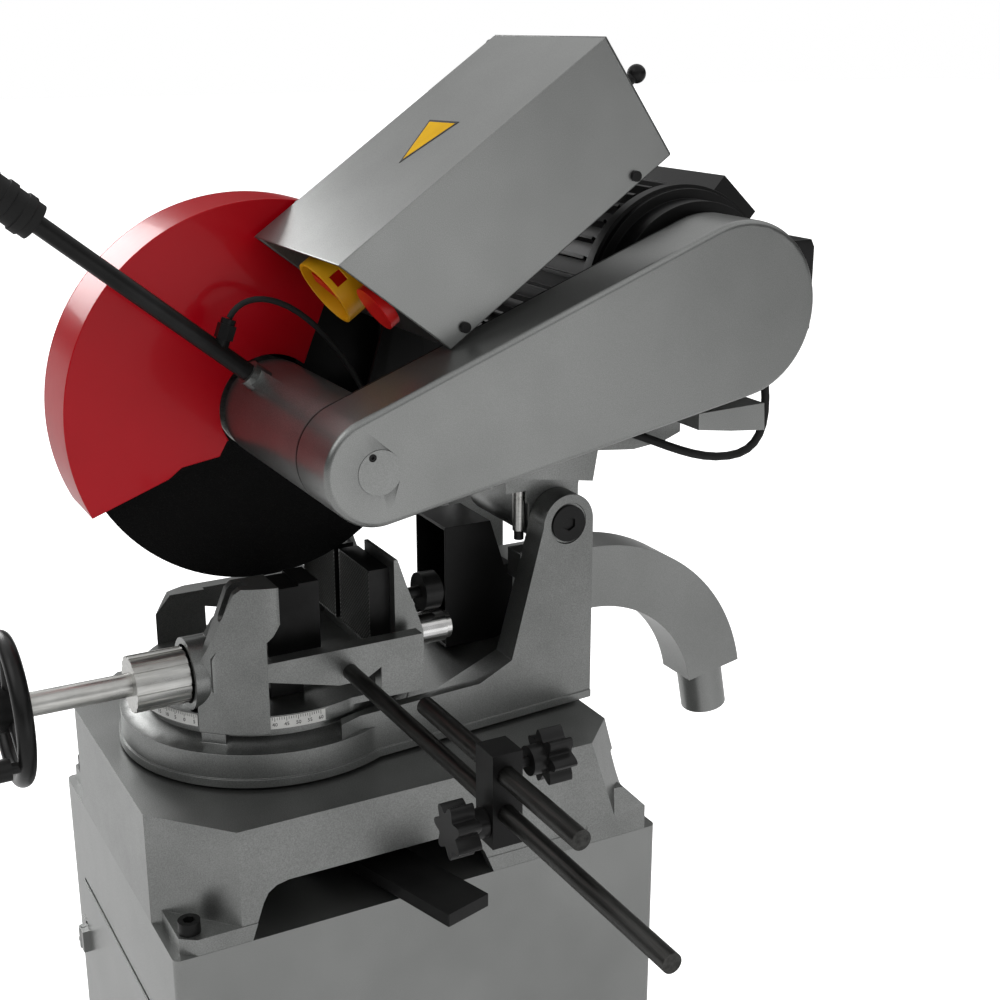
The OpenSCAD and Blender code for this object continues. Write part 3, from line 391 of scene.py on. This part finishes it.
def add_belt_cover():
    """The cover with a rounded rim round its face and an opening for the cap."""
    rim = 5.0
    rim_steps = 6
    hole_steps = 64
    hole_play = 0.2
    low, high = node_box("belt_cover")
    shaft_low, shaft_high = node_box("spindle_shaft")
    pulley_low, pulley_high = node_box("motor_pulley")
    cap_low, cap_high = node_box("cover_cap")
    spindle = ((shaft_low.y + shaft_high.y) / 2, (shaft_low.z + shaft_high.z) / 2)
    motor = ((pulley_low.y + pulley_high.y) / 2, (pulley_low.z + pulley_high.z) / 2)
    radii = (spindle[0] - low.y, high.y - motor[0])
    bm = bmesh.new()
    loops = [belt_loop(bm, low.x, (spindle, motor), radii)]
    for i in range(rim_steps + 1):
        a = math.pi / 2 * i / rim_steps
        inset = rim * (1 - math.cos(a))
        x = high.x - rim + rim * math.sin(a)
        loops.append(belt_loop(bm, x, (spindle, motor), (radii[0] - inset, radii[1] - inset)))
    for first, second in zip(loops, loops[1:]):
        ring_faces(bm, first, second)
    hole_r = (cap_high.y - cap_low.y) / 2 + hole_play
    hole = [bm.verts.new((high.x, spindle[0] + hole_r * math.cos(a), spindle[1] + hole_r * math.sin(a)))
            for a in (2 * math.pi * i / hole_steps for i in range(hole_steps))]
    edges = []
    for ring in (loops[-1], hole):
        for i, vert in enumerate(ring):
            following = ring[(i + 1) % len(ring)]
            edges.append(bm.edges.get((vert, following)) or bm.edges.new((vert, following)))
    bmesh.ops.triangle_fill(bm, use_beauty=True, edges=edges)
    bmesh.ops.recalc_face_normals(bm, faces=bm.faces)
    front = max(bm.faces, key=lambda f: f.calc_center_median().x)
    if front.normal.x < 0:
        bmesh.ops.reverse_faces(bm, faces=bm.faces)
    obj = add_piece("belt_cover_shell", bm, [COVER], "head", ["belt_cover"])
    for polygon in obj.data.polygons:
        polygon.use_smooth = polygon.normal.x < 0.999
    shell = obj.modifiers.new("sheet", "SOLIDIFY")
    shell.thickness = 2.5 * MM
    shell.offset = -1
    obj.modifiers.new("shading", "WEIGHTED_NORMAL")


def serrated_block(bm, low, high, gripping_high):
    """Block whose gripping face, at the low or high end of y, is a grid of small teeth."""
    tooth = 2.1
    depth = 1.3
    nx = round((high[0] - low[0]) / tooth)
    nz = round((high[2] - low[2]) / tooth)
    face_y, back_y = (high[1], low[1]) if gripping_high else (low[1], high[1])
    inward = -1 if gripping_high else 1
    grid = []
    for i in range(nx + 1):
        column = []
        for j in range(nz + 1):
            border = i in (0, nx) or j in (0, nz)
            sunk = 0 if border or (i + j) % 2 else depth
            x = low[0] + (high[0] - low[0]) * i / nx
            z = low[2] + (high[2] - low[2]) * j / nz
            column.append(bm.verts.new((x, face_y + inward * sunk, z)))
        grid.append(column)
    for i in range(nx):
        for j in range(nz):
            face = bm.faces.new((grid[i][j], grid[i + 1][j], grid[i + 1][j + 1], grid[i][j + 1]))
            face.material_index = 1
    corners = [bm.verts.new((x, back_y, z)) for x, z in
               ((low[0], low[2]), (high[0], low[2]), (high[0], high[2]), (low[0], high[2]))]
    borders = [[column[0] for column in grid], grid[nx], [column[nz] for column in reversed(grid)],
               list(reversed(grid[0]))]
    for k, border in enumerate(borders):
        bm.faces.new((*border, corners[(k + 1) % 4], corners[k]))
    bm.faces.new(corners)


def add_jaw_plates():
    """Toothed gripping plates; the rear pair leaves a gap for the disc."""
    gap = 6
    low, high = node_box("rear_jaw_plates")
    bm = bmesh.new()
    serrated_block(bm, low, (-gap, high.y, high.z), False)
    serrated_block(bm, (gap, low.y, low.z), high, False)
    bmesh.ops.recalc_face_normals(bm, faces=bm.faces)
    add_piece("rear_jaw_teeth", bm, [BLACK_OXIDE, WORN_STEEL], "rear_jaw_slide", ["rear_jaw_plates"], False)
    low, high = node_box("front_jaw_plate")
    bm = bmesh.new()
    serrated_block(bm, low, high, True)
    bmesh.ops.recalc_face_normals(bm, faces=bm.faces)
    add_piece("front_jaw_teeth", bm, [BLACK_OXIDE, WORN_STEEL], "front_jaw_slide", ["front_jaw_plate"], False)


def letters(text, size, depth):
    """Points and faces of a raised number, centred, in millimetres."""
    curve = bpy.data.curves.new("digits", "FONT")
    curve.body = text
    curve.size = size
    curve.extrude = depth / 2
    curve.align_x = "CENTER"
    curve.align_y = "CENTER"
    curve.resolution_u = 3
    obj = bpy.data.objects.new("digits", curve)
    bpy.context.scene.collection.objects.link(obj)
    mesh = bpy.data.meshes.new_from_object(obj.evaluated_get(bpy.context.evaluated_depsgraph_get()))
    points = [tuple(v.co) for v in mesh.vertices]
    faces = [tuple(p.vertices) for p in mesh.polygons]
    bpy.data.objects.remove(obj)
    bpy.data.curves.remove(curve)
    bpy.data.meshes.remove(mesh)
    return points, faces


def bend_on(bm, points, faces, radius, turn, height):
    """Adds flat geometry wrapped round the upright axis; its middle lies at the given turn and height."""
    verts = []
    for u, v, w in points:
        a = turn + u / radius
        verts.append(bm.verts.new(((radius + w) * math.cos(a), (radius + w) * math.sin(a), height + v)))
    for face in faces:
        bm.faces.new([verts[k] for k in face])


def add_scale_marks():
    """Degree lines and numbers round the white ring, left out where the front column stands."""
    low, high = node_box("angle_scale")
    radius = high.x + 0.05
    zero = -56
    reach = (-130, 4)
    column = (-50, -17)
    tick_width = 0.45
    raise_by = 0.12
    top = high.z - 0.4
    box_faces = [(0, 1, 2, 3), (7, 6, 5, 4), (0, 4, 5, 1), (1, 5, 6, 2), (2, 6, 7, 3), (3, 7, 4, 0)]
    bm = bmesh.new()
    for degree in range(reach[0], reach[1] + 1):
        if column[0] < degree < column[1]:
            continue
        count = abs(degree - zero)
        length = 4.2 if count % 5 == 0 else 2.6
        w = tick_width / 2
        flat = [(-w, -length), (w, -length), (w, 0), (-w, 0)]
        points = [(u, v, d) for d in (raise_by, 0.0) for u, v in flat]
        bend_on(bm, points, box_faces, radius, math.radians(degree), top)
        if count % 5 == 0:
            bend_on(bm, *letters(str(count), 5.0, 2 * raise_by), radius, math.radians(degree), top - 7.4)
    bmesh.ops.recalc_face_normals(bm, faces=bm.faces)
    add_piece("scale_marks", bm, [INK], "base", smooth=False)


def add_label():
    """Plain yellow triangle with a dark border, stuck on the slope of the switch box."""
    slope = math.radians(35)
    edge = Vector((0, -5.6, 1260.6))
    along = Vector((0, math.cos(slope), math.sin(slope)))
    outward = Vector((0, -math.sin(slope), math.cos(slope)))
    corners = [Vector((145, 117)), Vector((164, 175)), Vector((111, 173))]
    middle_point = sum(corners, Vector((0, 0))) / 3
    bm = bmesh.new()
    for index, (shrink, low, high) in enumerate(((1.0, 0.05, 0.35), (0.86, 0.30, 0.50))):
        rings = []
        for n in (low, high):
            flat = [middle_point + (c - middle_point) * shrink for c in corners]
            rings.append([bm.verts.new(edge + Vector((q.x, 0, 0)) + along * q.y + outward * n) for q in flat])
        ring_faces(bm, rings[0], rings[1])
        bm.faces.new(rings[0])
        bm.faces.new(rings[1])
        for face in bm.faces:
            if all(v in rings[0] + rings[1] for v in face.verts):
                face.material_index = index
    bmesh.ops.recalc_face_normals(bm, faces=bm.faces)
    add_piece("slope_label", bm, [INK, LABEL_YELLOW], "head", smooth=False)


add_belt_cover()
add_jaw_plates()
add_scale_marks()
add_label()


# ---------- stage, lights and camera ----------

CAMERA_AZIMUTH = 61.52
CAMERA_ELEVATION = 17.44
CAMERA_LENS = 54.73
CAMERA_PLACE = Vector((1.3335, -0.4579, 1.4407))


def view_axes(azimuth, elevation):
    """Right, up and forward of a camera that looks along +Y at azimuth 0."""
    a, e = math.radians(azimuth), math.radians(elevation)
    right = Vector((math.cos(a), math.sin(a), 0))
    forward = Vector((-math.sin(a) * math.cos(e), math.cos(a) * math.cos(e), -math.sin(e)))
    return right, right.cross(forward), forward


def add_camera():
    right, up, forward = view_axes(CAMERA_AZIMUTH, CAMERA_ELEVATION)
    camera = bpy.data.cameras.new("camera")
    camera.lens = CAMERA_LENS
    camera.sensor_width = 36
    camera.clip_end = 50
    obj = bpy.data.objects.new("camera", camera)
    turn = Matrix((right, up, -forward)).transposed().to_4x4()
    obj.matrix_world = Matrix.Translation(CAMERA_PLACE) @ turn
    bpy.context.scene.collection.objects.link(obj)
    bpy.context.scene.camera = obj


def add_area(name, place, target, size, power, tint=(1, 1, 1)):
    light = bpy.data.lights.new(name, "AREA")
    light.energy = power
    light.size = size
    light.color = tint
    obj = bpy.data.objects.new(name, light)
    obj.location = place
    obj.rotation_euler = (Vector(target) - Vector(place)).to_track_quat("-Z", "Y").to_euler()
    bpy.context.scene.collection.objects.link(obj)


def add_stage():
    mesh = bpy.data.meshes.new("floor")
    reach = 30
    mesh.from_pydata([(-reach, -reach, 0), (reach, -reach, 0), (reach, reach, 0), (-reach, reach, 0)], [],
                     [(0, 1, 2, 3)])
    floor = bpy.data.objects.new("floor", mesh)
    bpy.context.scene.collection.objects.link(floor)
    material, tn, links, shader = new_material("pale_floor")
    shader.inputs["Base Color"].default_value = (0.90, 0.90, 0.90, 1)
    shader.inputs["Roughness"].default_value = 0.9
    shader.inputs["Emission Color"].default_value = (1, 1, 1, 1)
    path = tn.new("ShaderNodeLightPath")
    links.new(span(tn, links, path.outputs["Is Camera Ray"], 0.0, 0.75), shader.inputs["Emission Strength"])
    mesh.materials.append(material)


def add_world():
    """White behind the object; for reflections a bright band overhead over a dark low horizon."""
    bands = [(-1.0, 0.60), (-0.04, 0.55), (0.02, 0.03), (0.31, 0.02), (0.45, 0.85), (0.80, 1.0), (1.0, 0.75)]
    world = bpy.data.worlds.new("studio")
    bpy.context.scene.world = world
    world.use_nodes = True
    tn = world.node_tree.nodes
    links = world.node_tree.links
    coords = tn.new("ShaderNodeTexCoord")
    split = tn.new("ShaderNodeSeparateXYZ")
    links.new(coords.outputs["Generated"], split.inputs["Vector"])
    height = span(tn, links, split.outputs["Z"], 0.0, 1.0, -1.0, 1.0)
    tones = ramp(tn, links, height, [((z + 1) / 2, (v, v, v)) for z, v in bands])
    studio = tn["Background"]
    links.new(tones, studio.inputs["Color"])
    backdrop = tn.new("ShaderNodeBackground")
    backdrop.inputs["Color"].default_value = (1, 1, 1, 1)
    path = tn.new("ShaderNodeLightPath")
    choose = tn.new("ShaderNodeMixShader")
    links.new(path.outputs["Is Camera Ray"], choose.inputs["Fac"])
    links.new(studio.outputs["Background"], choose.inputs[1])
    links.new(backdrop.outputs["Background"], choose.inputs[2])
    links.new(choose.outputs["Shader"], tn["World Output"].inputs["Surface"])


middle = Vector((0.05, 0.1, 1.0))
bpy.context.scene.view_settings.view_transform = "Standard"
add_stage()
add_world()
add_area("key", (0.2, -2.0, 3.2), middle, 1.8, 14)
add_area("side", (2.6, 0.6, 0.9), middle, 2.0, 7.5)
add_area("left", (-2.5, -0.45, 1.95), middle, 1.0, 20)
add_camera()
